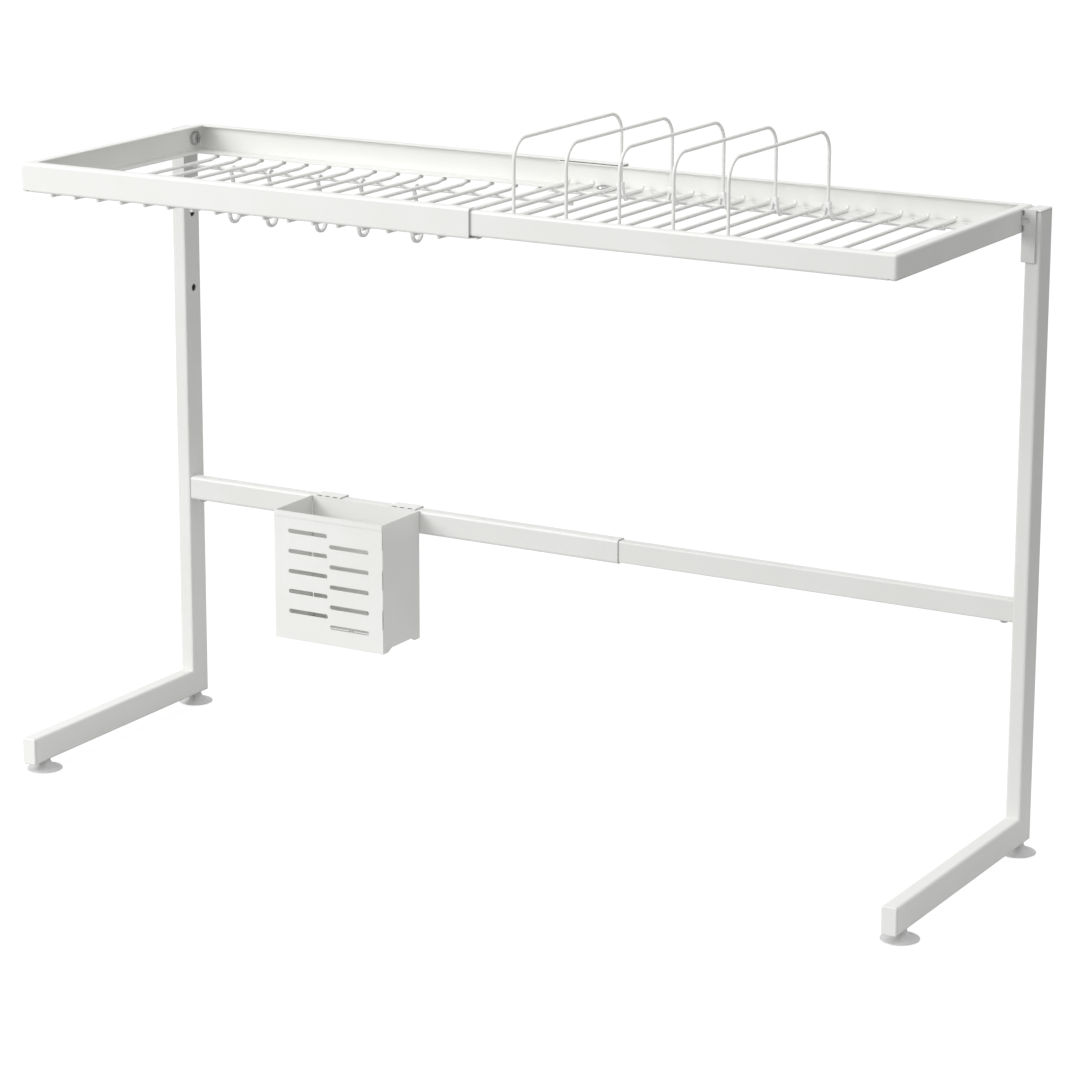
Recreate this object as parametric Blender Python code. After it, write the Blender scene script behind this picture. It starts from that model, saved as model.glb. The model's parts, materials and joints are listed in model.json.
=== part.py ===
"""Telescopic dish drainer: two leg frames, a two-part tray, a two-part cross bar and what hangs on them.

Metres, +Z up, +X along the trays, -Y towards the user. The origin is on the floor, under the middle of
the object at its photographed width.
"""

import math

import bmesh
import bpy
from mathutils import Vector

# Gaps between pieces that touch, and how far a cutter runs past the wall it cuts
touch_gap = 0.0003
cut_overrun = 0.002

# Leg frames: rectangular steel tube, mitred and welded to an L
tube_width = 0.014
tube_depth = 0.025
tube_wall = 0.0012
tube_corner_radius = 0.002
foot_beyond_tray = 0.0025
post_top_below_tray_top = 0.003
plug_plate = 0.0018
plug_depth = 0.0045
plug_edge_radius = 0.0008
height_hole_radius = 0.0035
height_step = 0.072
height_steps = 3

# Feet: soft pads on push-in stems
pad_waist_share = 0.35
pad_flare_share = 0.28
pad_radius = 0.0165
pad_height = 0.0097
pad_rim_thickness = 0.0014
pad_neck_radius = 0.0055
pad_socket_depth = 0.0055
stem_radius = 0.003
stem_height = 0.018
stem_flange_radius = 0.0045
front_pad_from_foot_end = 0.023
rear_pad_from_post = 0.0125

# Trays: rims folded from steel sheet
sheet = 0.0012
sheet_fold_radius = 0.0018
tray_bottom = 0.5445
tray_depth = 0.2755
tray_corner_radius = 0.003
tray_corner_steps = 3
outer_tray_length = 0.462
inner_tray_length = 0.454
tray_overlap = 0.067
rim_height = 0.0255
rim_lip = 0.010
rim_flange = 0.012
outer_ledge = 0.019
inner_ledge = 0.0365
slide_clearance = 0.0009
tongue_length = 0.0075
tongue_width = 0.007
tongue_thickness = 0.0008
relief_radius = 0.0015
relief_from_corner = 0.007

# Wire grids
wire_radius = 0.00165
wire_sides = 8
rod_pitch = 0.025
outer_rod_margin = 0.030
inner_rod_margin = 0.0665
least_end_margin = 0.010
rod_front_setback = 0.004
rod_drop = 0.0015
rod_drop_run = 0.022
rod_rise_run = 0.007
rod_ledge_lap = 0.012
cross_wire_from_post = 0.0245
cross_wire_end = 0.0035
weld_depth = 0.0004
upturn_from_back = 0.0115
upturn_radius = 0.0021
upturn_height = 0.0035
bend_steps = 3

# Plate arches and the forked clips under their legs
arch_count = 5
first_arch_rod = 3
rods_per_arch = 2
arch_wire_radius = 0.0015
arch_height = 0.074
arch_bend_radius = 0.019
arch_bend_steps = 6
arch_front_from_tray_front = 0.039
arch_rear_from_post = 0.026
clip_length = 0.005
clip_top_width = 0.0052
clip_height_above_rod_centre = 0.0122
clip_socket_depth = 0.005
clip_crotch_above_rod_centre = 0.0068
clip_crotch_width = 0.002
clip_reach_below_rod_centre = 0.0036
clip_tip_width = 0.0102
clip_prong = 0.0018

# Utensil hooks: J shapes that swing on the outer grid's cross wire
hook_place_shares = (1.64, 3.3, 5.47, 7.32, 9.62)
hook_thickness = 0.0035
hook_band = 0.003
hook_eye_band = 0.0024
hook_drop = 0.0505
hook_bowl_radius = 0.00775
hook_front_arm = 0.016
hook_eye_start_degrees = -20
hook_lean_degrees = 18
hook_flare_degrees = 9
hook_eye_steps = 10
hook_bowl_steps = 10

# Brackets between the trays' end walls and the posts
bracket_sheet = 0.002
bracket_height = 0.0445
bracket_below_tray_top = 0.003
bracket_web_depth = 0.0215
bracket_flange = 0.010
bracket_dimple_width = 0.0064
bracket_dimple_height = 0.0056
bracket_dimple_depth = 0.0012
bracket_notch_width = 0.0022
bracket_notch_height = 0.0052
bracket_notch_from_dimple = 0.0063

# Screws: one through each end wall, one in each end of the bar, one in the back ledges
tray_screw_head_radius = 0.0066
tray_screw_head_height = 0.0032
tray_screw_radius = 0.003
tray_screw_length = 0.011
tray_screw_recess_radius = 0.0026
tray_screw_recess_depth = 0.0014
tray_screw_from_post_front = 0.0135
bar_screw_head_radius = 0.0034
bar_screw_head_height = 0.0018
bar_screw_radius = 0.0015
bar_screw_length = 0.008
bar_screw_from_end = 0.010
lock_hole_radius = 0.0023
lock_screw_radius = 0.0019
lock_screw_head_radius = 0.0065
lock_screw_head_height = 0.0022
lock_screw_recess_radius = 0.0022
lock_screw_recess_depth = 0.0012
lock_screw_from_back = 0.0145
lock_screw_from_rim_end = 0.017
lock_hole_count = 8
middle_of_gap_share = 0.5

# Cross bar: two rectangular tubes, one inside the other, on spigots
bar_bottom = 0.2075
bar_height = 0.0225
bar_depth = 0.013
bar_wall = 0.001
bar_corner_radius = 0.0024
bar_setback = 0.0015
outer_bar_length = 0.469
bar_overlap = 0.080
spigot_length = 0.020

# Cutlery basket, folded from one sheet
basket_from_left_post = 0.140
basket_width = 0.119
basket_depth = 0.064
basket_height = 0.123
basket_sheet = 0.001
basket_foot_height = 0.0035
basket_foot_length = 0.009
basket_foot_slope = 0.006
basket_hem_height = 0.0052
basket_hem_step = 0.0004
basket_hem_inset = 0.0006
slot_length = 0.043
slot_height = 0.0042
slot_pitch = 0.0193
slot_rows = 5
slot_gap_between_columns = 0.0024
first_slot_below_rim = 0.0184
drain_slot_rows = 4
drain_slot_pitch = 0.0125
fold_slit_width = 0.0008
fold_slit_length = 0.018
fold_slit_pitch = 0.038
fold_slit_count = 3
tab_width = 0.028
tab_inset = 0.004
tab_drop = 0.012
tab_sheet = 0.0009
tab_root = 0.003
tab_slit_length = 0.005
tab_slit_pitch = 0.0085
tab_slit_count = 3

# Places worked out from the sizes
tray_length = outer_tray_length + inner_tray_length - tray_overlap
overall_width = tray_length + 2 * (bracket_sheet + 2 * touch_gap + tube_width)
foot_reach = tray_depth - tube_depth + foot_beyond_tray
overall_depth = foot_reach + rear_pad_from_post + pad_radius
half_width = overall_width / 2
post_front_y = overall_depth / 2 - pad_radius - rear_pad_from_post
foot_front_y = post_front_y - foot_reach
tray_back_y = post_front_y + tube_depth
tray_front_y = tray_back_y - tray_depth
tray_left_x = -tray_length / 2
tray_right_x = tray_length / 2
outer_rim_end_x = tray_left_x + outer_tray_length
inner_rim_end_x = tray_right_x - inner_tray_length
tray_top = tray_bottom + rim_height
nest_step = sheet + slide_clearance
inner_bottom = tray_bottom + nest_step
inner_top = tray_top - nest_step
tray_middle = tray_bottom + rim_height / 2
post_top = tray_top - post_top_below_tray_top
foot_tube_bottom = pad_height + touch_gap
foot_centre_z = foot_tube_bottom + tube_depth / 2
post_centre_y = post_front_y + tube_depth / 2
outer_rod_z = tray_bottom - touch_gap - wire_radius
inner_rod_z = inner_bottom + sheet + touch_gap + wire_radius
cross_wire_y = post_front_y - cross_wire_from_post
first_outer_rod_x = tray_left_x + outer_rod_margin
last_inner_rod_x = tray_right_x - inner_rod_margin
outer_rod_gaps = int((outer_tray_length - outer_rod_margin - least_end_margin) / rod_pitch)
inner_rod_gaps = int((inner_tray_length - inner_rod_margin - least_end_margin) / rod_pitch)
last_outer_rod_x = first_outer_rod_x + outer_rod_gaps * rod_pitch
first_inner_rod_x = last_inner_rod_x - inner_rod_gaps * rod_pitch
outer_cross_wire_z = outer_rod_z - rod_drop - 2 * wire_radius + weld_depth
inner_cross_wire_z = inner_rod_z - 2 * wire_radius + weld_depth
inner_cross_wire_y = tray_back_y - nest_step - inner_ledge - touch_gap - wire_radius
bar_front_y = post_front_y + bar_setback
bar_centre_y = bar_front_y + bar_depth / 2
bar_centre_z = bar_bottom + bar_height / 2
bar_top = bar_bottom + bar_height
left_post_inner_x = -half_width + tube_width
right_post_inner_x = half_width - tube_width
lock_pitch = 2 * rod_pitch
lock_screw_reach = outer_rim_end_x - lock_screw_from_rim_end - first_inner_rod_x
lock_screw_gap = round(lock_screw_reach / rod_pitch - middle_of_gap_share)
lock_screw_x = first_inner_rod_x + (lock_screw_gap + middle_of_gap_share) * rod_pitch
lock_screw_y = tray_back_y - lock_screw_from_back
clip_bore_radius = wire_radius + touch_gap
clip_top_z = inner_rod_z + clip_height_above_rod_centre
arch_leg_front_y = tray_front_y + arch_front_from_tray_front
arch_leg_rear_y = post_front_y - arch_rear_from_post
arch_top_z = inner_rod_z + wire_radius + arch_height - arch_wire_radius
inner_bar_end_x = left_post_inner_x + touch_gap + outer_bar_length - bar_overlap
basket_left_x = left_post_inner_x + basket_from_left_post
basket_right_x = basket_left_x + basket_width
basket_back_y = bar_front_y - touch_gap
basket_front_y = basket_back_y - basket_depth
basket_bottom = bar_top - basket_height
basket_floor_bottom = basket_bottom + basket_foot_height


def clear_scene():
    for old in list(bpy.data.objects):
        bpy.data.objects.remove(old, do_unlink=True)


def paint(name, colour, roughness, metallic=0.0, alpha=1.0, transmission=0.0):
    material = bpy.data.materials.new(name)
    material.use_nodes = True
    shader = material.node_tree.nodes["Principled BSDF"]
    shader.inputs["Base Color"].default_value = (*colour, 1.0)
    shader.inputs["Roughness"].default_value = roughness
    shader.inputs["Metallic"].default_value = metallic
    shader.inputs["Alpha"].default_value = alpha
    shader.inputs["Transmission Weight"].default_value = transmission
    return material


def finish_object(name, mesh_data, material, origin=None, smooth_degrees=35):
    """Close a bmesh into an object, with its origin where its joint or its seat is."""
    bmesh.ops.recalc_face_normals(mesh_data, faces=mesh_data.faces)
    centre = Vector(origin) if origin else Vector((0, 0, 0))
    bmesh.ops.translate(mesh_data, verts=mesh_data.verts, vec=-centre)
    mesh = bpy.data.meshes.new(name)
    mesh_data.to_mesh(mesh)
    mesh_data.free()
    mesh.materials.append(material)
    mesh.shade_smooth()
    mesh.set_sharp_from_angle(angle=math.radians(smooth_degrees))
    piece = bpy.data.objects.new(name, mesh)
    piece.location = centre
    bpy.context.scene.collection.objects.link(piece)
    return piece


def combine(piece, helper, operation):
    """Cut or join a helper that the build leaves out."""
    helper.hide_render = True
    helper.display_type = "WIRE"
    boolean = piece.modifiers.new(helper.name, "BOOLEAN")
    boolean.operation = operation
    boolean.solver = "EXACT"
    boolean.object = helper
    return piece


def ring_between(mesh_data, first, second):
    count = len(first)
    for i in range(count):
        j = (i + 1) % count
        mesh_data.faces.new((first[i], first[j], second[j], second[i]))


def loft_closed(mesh_data, rings):
    """Skin rings of points from end to end and cap both ends."""
    rows = [[mesh_data.verts.new(point) for point in ring] for ring in rings]
    for first, second in zip(rows, rows[1:]):
        ring_between(mesh_data, first, second)
    mesh_data.faces.new(rows[0])
    mesh_data.faces.new(rows[-1])


def add_box(mesh_data, low, high):
    corners = [(low[0], low[1]), (high[0], low[1]), (high[0], high[1]), (low[0], high[1])]
    loft_closed(mesh_data, [[(x, y, z) for x, y in corners] for z in (low[2], high[2])])


def circle(radius, sides):
    turn = 2 * math.pi / sides
    return [(radius * math.cos(i * turn), radius * math.sin(i * turn)) for i in range(sides)]


def add_cylinder(mesh_data, axis, centre, low, high, radius, sides=16):
    """A round bar between two stations on an axis; centre is on the other two axes."""
    outline = [(centre[0] + u, centre[1] + v) for u, v in circle(radius, sides)]
    add_prism(mesh_data, axis, low, high, outline)


def add_lathe(mesh_data, place, profile, sides=24):
    """Turn (radius, height) pairs round an axis; place maps (u, v, height) to a point in space."""
    loft_closed(
        mesh_data,
        [[place(u, v, height) for u, v in circle(radius, sides)] for radius, height in profile],
    )


def upright(x, y):
    return lambda u, v, height: (x + u, y + v, height)


def rounded_rectangle(width, height, radius, steps=2):
    """Points round a rectangle about its centre, with an arc at each corner."""
    points = []
    for quarter, (sx, sy) in enumerate(((1, 1), (-1, 1), (-1, -1), (1, -1))):
        for step in range(steps + 1):
            angle = math.radians(90) * (quarter + step / steps)
            x = sx * (width / 2 - radius) + radius * math.cos(angle)
            y = sy * (height / 2 - radius) + radius * math.sin(angle)
            points.append((x, y))
    return points


def fillet_path(corners, radius, steps):
    """A planar path of straight runs whose corners are arcs; the points are (u, v) pairs."""
    path = [Vector(corners[0])]
    for before, at, after in zip(corners, corners[1:], corners[2:]):
        corner = Vector(at)
        back = (Vector(before) - corner).normalized()
        ahead = (Vector(after) - corner).normalized()
        half_angle = back.angle(ahead) / 2
        centre = corner + (back + ahead).normalized() * (radius / math.sin(half_angle))
        tangent = radius / math.tan(half_angle)
        start = corner + back * tangent - centre
        end = corner + ahead * tangent - centre
        side = 1 if start.x * end.y > start.y * end.x else -1
        for step in range(steps + 1):
            turn = side * (math.pi - 2 * half_angle) * step / steps
            path.append(centre + turned(start, turn))
    path.append(Vector(corners[-1]))
    return path


def turned(arm, angle):
    cosine, sine = math.cos(angle), math.sin(angle)
    return Vector((arm.x * cosine - arm.y * sine, arm.x * sine + arm.y * cosine))


def add_wire_across(mesh_data, x, path, radius, sides=wire_sides):
    """Round wire along a path of (y, z) points in the plane at x, mitred at each bend."""
    rings = []
    for i, point in enumerate(path):
        before = path[max(i - 1, 0)]
        after = path[min(i + 1, len(path) - 1)]
        arriving = (point - before).normalized() if i else (after - point).normalized()
        leaving = (after - point).normalized() if i < len(path) - 1 else arriving
        along = (arriving + leaving).normalized()
        normal = Vector((-along.y, along.x))
        stretch = 1 / along.dot(arriving)
        rings.append(
            [
                (x + u, point.x + normal.x * v * stretch, point.y + normal.y * v * stretch)
                for u, v in circle(radius, sides)
            ]
        )
    loft_closed(mesh_data, rings)


def ribbon_outline(path):
    """The outline of a flat band along a path of (point, half width) pairs."""
    points = [point for point, _ in path]
    left, right = [], []
    for i, (point, half_band) in enumerate(path):
        along = (points[min(i + 1, len(path) - 1)] - points[max(i - 1, 0)]).normalized()
        normal = Vector((-along.y, along.x))
        left.append(point + normal * half_band)
        right.append(point - normal * half_band)
    return left + right[::-1]


def add_prism(mesh_data, axis, low, high, outline):
    """Extrude an outline along an axis; its pairs are on the other two axes, in their order."""
    rings = []
    for station in (low, high):
        ring = []
        for u, v in outline:
            point = [u, v]
            point.insert("XYZ".index(axis), station)
            ring.append(point)
        rings.append(ring)
    loft_closed(mesh_data, rings)


def add_tube(mesh_data, stations, outer, inner):
    """Hollow tube: each station maps a profile point to space, and the ends are open rings."""
    outer_rows = [[mesh_data.verts.new(place(u, v)) for u, v in outer] for place in stations]
    inner_rows = [[mesh_data.verts.new(place(u, v)) for u, v in inner] for place in stations]
    for rows in (outer_rows, inner_rows):
        for first, second in zip(rows, rows[1:]):
            ring_between(mesh_data, first, second)
    ring_between(mesh_data, outer_rows[0], inner_rows[0])
    ring_between(mesh_data, outer_rows[-1], inner_rows[-1])


def leg_frame(side, material):
    """Foot and post in one L of tube, holed for the tray screw, its two other heights and the stems."""
    sign = -1 if side == "left" else 1
    centre_x = sign * (half_width - tube_width / 2)
    inner_face_x = centre_x - sign * tube_width / 2
    tube_front_y = foot_front_y + plug_plate + touch_gap
    tube_top = post_top - plug_plate - touch_gap
    stations = (
        lambda u, v: (centre_x + u, tube_front_y, foot_centre_z + v),
        lambda u, v: (centre_x + u, post_centre_y - v, foot_centre_z + v),
        lambda u, v: (centre_x + u, post_centre_y - v, tube_top),
    )
    tube = bmesh.new()
    add_tube(
        tube,
        stations,
        rounded_rectangle(tube_width, tube_depth, tube_corner_radius),
        rounded_rectangle(
            tube_width - 2 * tube_wall,
            tube_depth - 2 * tube_wall,
            tube_corner_radius - tube_wall,
        ),
    )
    frame = finish_object(f"{side}_leg_frame", tube, material, origin=(centre_x, post_centre_y, 0))
    holes = bmesh.new()
    screw_y = post_front_y + tray_screw_from_post_front
    wall_x = sorted((inner_face_x - sign * cut_overrun, inner_face_x + sign * (tube_wall + cut_overrun)))
    for step in range(height_steps):
        add_cylinder(
            holes, "X", (screw_y, tray_middle - step * height_step), *wall_x, height_hole_radius
        )
    for pad_y in pad_places():
        add_cylinder(
            holes,
            "Z",
            (centre_x, pad_y),
            foot_tube_bottom - cut_overrun,
            foot_tube_bottom + tube_wall + cut_overrun,
            stem_radius + touch_gap,
        )
    cutter = finish_object(f"{side}_leg_holes", holes, material)
    return combine(frame, cutter, "DIFFERENCE")


def pad_places():
    return (foot_front_y + front_pad_from_foot_end, post_front_y + rear_pad_from_post)


def tube_plug(name, centre_x, centre_y, centre_z, upright, material):
    """Moulded plug: a plate the size of the tube with a rounded edge, and a block that fills its bore."""
    plate = rounded_rectangle(tube_width, tube_depth, tube_corner_radius)
    edge = rounded_rectangle(
        tube_width - 2 * plug_edge_radius,
        tube_depth - 2 * plug_edge_radius,
        tube_corner_radius - plug_edge_radius,
    )
    bore_cut = tube_wall + touch_gap
    block = rounded_rectangle(
        tube_width - 2 * bore_cut, tube_depth - 2 * bore_cut, tube_corner_radius - tube_wall
    )
    rows = (
        (edge, 0),
        (plate, -plug_edge_radius),
        (plate, -plug_plate),
        (block, -plug_plate),
        (block, -plug_plate - plug_depth),
    )
    plug = bmesh.new()
    rings = []
    for ring, inward in rows:
        if upright:
            rings.append([(centre_x + u, centre_y - v, centre_z + inward) for u, v in ring])
        else:
            rings.append([(centre_x + u, centre_y - inward, centre_z + v) for u, v in ring])
    loft_closed(plug, rings)
    return finish_object(name, plug, material, origin=(centre_x, centre_y, centre_z))


def foot_pad(name, x, y, material):
    """Soft flared disc with a short neck, flat underneath, with a socket for its stem."""
    pad = bmesh.new()
    shoulder = pad_rim_thickness + (pad_height - pad_rim_thickness) * pad_waist_share
    profile = (
        (pad_radius - pad_rim_thickness / 2, 0),
        (pad_radius, pad_rim_thickness / 2),
        (pad_radius - pad_rim_thickness / 2, pad_rim_thickness),
        (pad_neck_radius + (pad_radius - pad_neck_radius) * pad_flare_share, shoulder),
        (pad_neck_radius, pad_height - pad_rim_thickness),
        (pad_neck_radius, pad_height),
        (stem_radius + touch_gap, pad_height),
        (stem_radius + touch_gap, pad_height - pad_socket_depth),
    )
    add_lathe(pad, upright(x, y), profile)
    return finish_object(name, pad, material, origin=(x, y, 0))


def foot_stem(name, x, y, material):
    """Push-in stem: its foot sits in the pad, its head spreads inside the tube."""
    stem = bmesh.new()
    low = pad_height - pad_socket_depth + touch_gap
    seat = foot_tube_bottom + tube_wall + touch_gap
    profile = (
        (stem_radius, low),
        (stem_radius, seat),
        (stem_flange_radius, seat),
        (stem_flange_radius, seat + tube_wall),
        (stem_radius, seat + 2 * tube_wall),
        (stem_radius, low + stem_height),
    )
    add_lathe(stem, upright(x, y), profile, sides=16)
    return finish_object(name, stem, material, origin=(x, y, low))


def folded_rim(name, open_x, wall_x, bottom, top, setback, ledge, material):
    """U-shaped rim of folded sheet, open at open_x, with its end wall at wall_x.

    The section is a C: a face, a lip folded inwards along the top and a flange along the bottom.
    The flange along the back is the wider ledge. The end wall meets the sides in round corners.
    """
    inward = 1 if wall_x < open_x else -1
    front = tray_front_y + setback
    back = tray_back_y - setback
    lip = (rim_lip - setback,) * 3
    flange = (rim_flange - setback, rim_flange - setback, ledge)
    section = (
        ((0, 0, 0), bottom),
        ((0, 0, 0), top),
        (lip, top),
        (lip, top - sheet),
        ((sheet,) * 3, top - sheet),
        ((sheet,) * 3, bottom + sheet),
        (flange, bottom + sheet),
        (flange, bottom),
    )
    rings = [[(open_x, front + widths[0], z) for widths, z in section]]
    for step in range(tray_corner_steps + 1):
        ease = [corner_ease(widths[0], step) for widths, _ in section]
        rings.append(
            [
                (wall_x + inward * (widths[1] + along), front + widths[0] + across, z)
                for (widths, z), (across, along) in zip(section, ease)
            ]
        )
    for step in range(tray_corner_steps + 1):
        ease = [corner_ease(widths[1], step) for widths, _ in section]
        rings.append(
            [
                (wall_x + inward * (widths[1] + along), back - widths[2] - across, z)
                for (widths, z), (along, across) in zip(section, ease)
            ]
        )
    rings.append([(open_x, back - widths[2], z) for widths, z in section])
    rim = bmesh.new()
    loft_closed(rim, rings)
    bmesh.ops.remove_doubles(rim, verts=rim.verts, dist=touch_gap / 3)
    outer_folds = [edge for edge in rim.edges if is_outer_fold(edge, front, back, wall_x, open_x)]
    bmesh.ops.bevel(
        rim,
        geom=outer_folds,
        offset=sheet_fold_radius,
        offset_type="OFFSET",
        segments=2,
        profile=0.5,
        affect="EDGES",
    )
    return finish_object(name, rim, material, origin=(wall_x, tray_back_y, bottom))


def corner_ease(width, step):
    """How far a round corner draws a point in, along the side it leaves and the one it joins."""
    radius = max(tray_corner_radius - width, 0)
    angle = math.radians(90) * step / tray_corner_steps
    return radius * (1 - math.cos(angle)), radius * (1 - math.sin(angle))


def depth_in_rim(point, front, back, wall_x):
    """How far a point lies inside the rim's outer face, round its corners too."""
    along = abs(point.x - wall_x)
    across = min(point.y - front, back - point.y)
    if max(along, across) > tray_corner_radius:
        return min(along, across)
    return tray_corner_radius - math.hypot(tray_corner_radius - along, tray_corner_radius - across)


def is_outer_fold(edge, front, back, wall_x, open_x):
    """Edges where the outer face turns into the lip above or the flange below."""
    tiny = sheet / 10
    first, second = (vertex.co for vertex in edge.verts)
    level = abs(first.z - second.z) < tiny
    at_open_end = abs(first.x - open_x) < tiny and abs(second.x - open_x) < tiny
    outside = all(depth_in_rim(point, front, back, wall_x) < tiny for point in (first, second))
    return level and outside and not at_open_end


def outer_tray_rim(material):
    """The wider rim. Its end wall takes the left tray screw and its ledge the lock screw's tip."""
    rim = folded_rim(
        "outer_tray_rim",
        outer_rim_end_x,
        tray_left_x,
        tray_bottom,
        tray_top,
        0,
        outer_ledge,
        material,
    )
    tongues = bmesh.new()
    for y in (tray_front_y + sheet + slide_clearance, tray_back_y - sheet - slide_clearance - tongue_width):
        low_z = tray_bottom + (sheet - tongue_thickness) / 2
        add_box(
            tongues,
            (outer_rim_end_x - tongue_length, y, low_z),
            (outer_rim_end_x + tongue_length, y + tongue_width, low_z + tongue_thickness),
        )
    combine(rim, finish_object("outer_rim_tongues", tongues, material), "UNION")
    holes = bmesh.new()
    add_cylinder(
        holes,
        "X",
        (post_front_y + tray_screw_from_post_front, tray_middle),
        tray_left_x - cut_overrun,
        tray_left_x + sheet + cut_overrun,
        tray_screw_radius + touch_gap,
    )
    add_cylinder(
        holes,
        "Z",
        (lock_screw_x, lock_screw_y),
        tray_bottom - cut_overrun,
        tray_bottom + sheet + cut_overrun,
        lock_hole_radius,
        sides=12,
    )
    add_cylinder(
        holes,
        "Y",
        (tray_left_x + relief_from_corner, tray_bottom),
        tray_front_y - cut_overrun,
        tray_front_y + sheet + cut_overrun,
        relief_radius,
        sides=8,
    )
    return combine(rim, finish_object("outer_rim_holes", holes, material), "DIFFERENCE")


def inner_tray_rim(material):
    """The rim that slides inside the other, with a row of lock holes along its ledge."""
    rim = folded_rim(
        "inner_tray_rim",
        inner_rim_end_x,
        tray_right_x,
        inner_bottom,
        inner_top,
        nest_step,
        inner_ledge,
        material,
    )
    holes = bmesh.new()
    add_cylinder(
        holes,
        "X",
        (post_front_y + tray_screw_from_post_front, tray_middle),
        tray_right_x - sheet - cut_overrun,
        tray_right_x + cut_overrun,
        tray_screw_radius + touch_gap,
    )
    for i in range(lock_hole_count):
        add_cylinder(
            holes,
            "Z",
            (lock_screw_x + i * lock_pitch, lock_screw_y),
            inner_bottom - cut_overrun,
            inner_bottom + sheet + cut_overrun,
            lock_hole_radius,
            sides=10,
        )
    add_cylinder(
        holes,
        "Y",
        (tray_right_x - relief_from_corner, inner_bottom),
        tray_front_y + nest_step - cut_overrun,
        tray_front_y + nest_step + sheet + cut_overrun,
        relief_radius,
        sides=8,
    )
    return combine(rim, finish_object("inner_rim_holes", holes, material), "DIFFERENCE")


def add_cross_wire(name, first_x, last_x, y, z, material):
    wire = bmesh.new()
    add_cylinder(
        wire,
        "X",
        (y, z),
        first_x - cross_wire_end,
        last_x + cross_wire_end,
        wire_radius,
        sides=wire_sides,
    )
    return finish_object(name, wire, material)


def outer_wire_grid(material):
    """Rods under the outer tray's flanges on one cross wire, sloped away from the front flange."""
    front_end = tray_front_y + rod_front_setback
    flange_edge = tray_front_y + rim_flange
    ledge_edge = tray_back_y - outer_ledge
    low_z = outer_rod_z - rod_drop
    rods = bmesh.new()
    for i in range(outer_rod_gaps + 1):
        last = i == outer_rod_gaps
        start = flange_edge - wire_radius if last else front_end
        path = [
            Vector((start, outer_rod_z)),
            Vector((flange_edge, outer_rod_z)),
            Vector((flange_edge + rod_drop_run, low_z)),
            Vector((ledge_edge - rod_rise_run, low_z)),
            Vector((ledge_edge, outer_rod_z)),
            Vector((ledge_edge + rod_ledge_lap, outer_rod_z)),
        ]
        add_wire_across(rods, first_outer_rod_x + i * rod_pitch, path, wire_radius)
    grid = finish_object("outer_wire_grid", rods, material, smooth_degrees=50)
    wire = add_cross_wire(
        "outer_cross_wire",
        first_outer_rod_x,
        last_outer_rod_x,
        cross_wire_y,
        outer_cross_wire_z,
        material,
    )
    return combine(grid, wire, "UNION")


def inner_wire_grid(material):
    """Rods on the inner tray's flange and ledge, turned up against the back wall."""
    front_end = tray_front_y + nest_step + sheet + touch_gap
    back_end = tray_back_y - upturn_from_back
    corners = (
        (front_end, inner_rod_z),
        (back_end, inner_rod_z),
        (back_end, inner_rod_z + upturn_height),
    )
    path = fillet_path(corners, upturn_radius, bend_steps)
    rods = bmesh.new()
    for i in range(inner_rod_gaps + 1):
        add_wire_across(rods, first_inner_rod_x + i * rod_pitch, path, wire_radius)
    grid = finish_object("inner_wire_grid", rods, material, smooth_degrees=50)
    wire = add_cross_wire(
        "inner_cross_wire",
        first_inner_rod_x,
        last_inner_rod_x,
        inner_cross_wire_y,
        inner_cross_wire_z,
        material,
    )
    return combine(grid, wire, "UNION")


def arch_places():
    """The x of each plate arch: every second rod of the inner grid."""
    return [
        first_inner_rod_x + (first_arch_rod + i * rods_per_arch) * rod_pitch for i in range(arch_count)
    ]


def plate_arch(number, x, material):
    """One bent wire: two legs and a top, pushed into its two clips."""
    foot_z = clip_top_z - clip_socket_depth + touch_gap
    corners = (
        (arch_leg_front_y, foot_z),
        (arch_leg_front_y, arch_top_z),
        (arch_leg_rear_y, arch_top_z),
        (arch_leg_rear_y, foot_z),
    )
    arch = bmesh.new()
    path = fillet_path(corners, arch_bend_radius, arch_bend_steps)
    add_wire_across(arch, x, path, arch_wire_radius)
    origin = (x, (arch_leg_front_y + arch_leg_rear_y) / 2, inner_rod_z)
    return finish_object(f"plate_arch_{number}", arch, material, origin=origin, smooth_degrees=50)


def arch_clip(name, x, y, material):
    """Forked clip: a socket for the arch's leg above two prongs that wedge over a rod."""
    crotch_z = inner_rod_z + clip_crotch_above_rod_centre
    tip_z = inner_rod_z - clip_reach_below_rod_centre
    splay = math.atan((clip_bore_radius - clip_crotch_width / 2) / clip_crotch_above_rod_centre)
    side = [
        (clip_top_width / 2, clip_top_z),
        (clip_tip_width / 2, tip_z),
        (clip_tip_width / 2 - clip_prong, tip_z),
        (clip_bore_radius / math.cos(splay), inner_rod_z),
        (clip_crotch_width / 2, crotch_z),
    ]
    outline = [(x + half, z) for half, z in side] + [(x - half, z) for half, z in side[::-1]]
    clip = bmesh.new()
    add_prism(clip, "Y", y - clip_length / 2, y + clip_length / 2, outline)
    fork = finish_object(name, clip, material, origin=(x, y, inner_rod_z))
    socket = bmesh.new()
    add_cylinder(
        socket,
        "Z",
        (x, y),
        clip_top_z - clip_socket_depth,
        clip_top_z + cut_overrun,
        arch_wire_radius + touch_gap,
        sides=wire_sides,
    )
    return combine(fork, finish_object(f"{name}_socket", socket, material), "DIFFERENCE")


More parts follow.
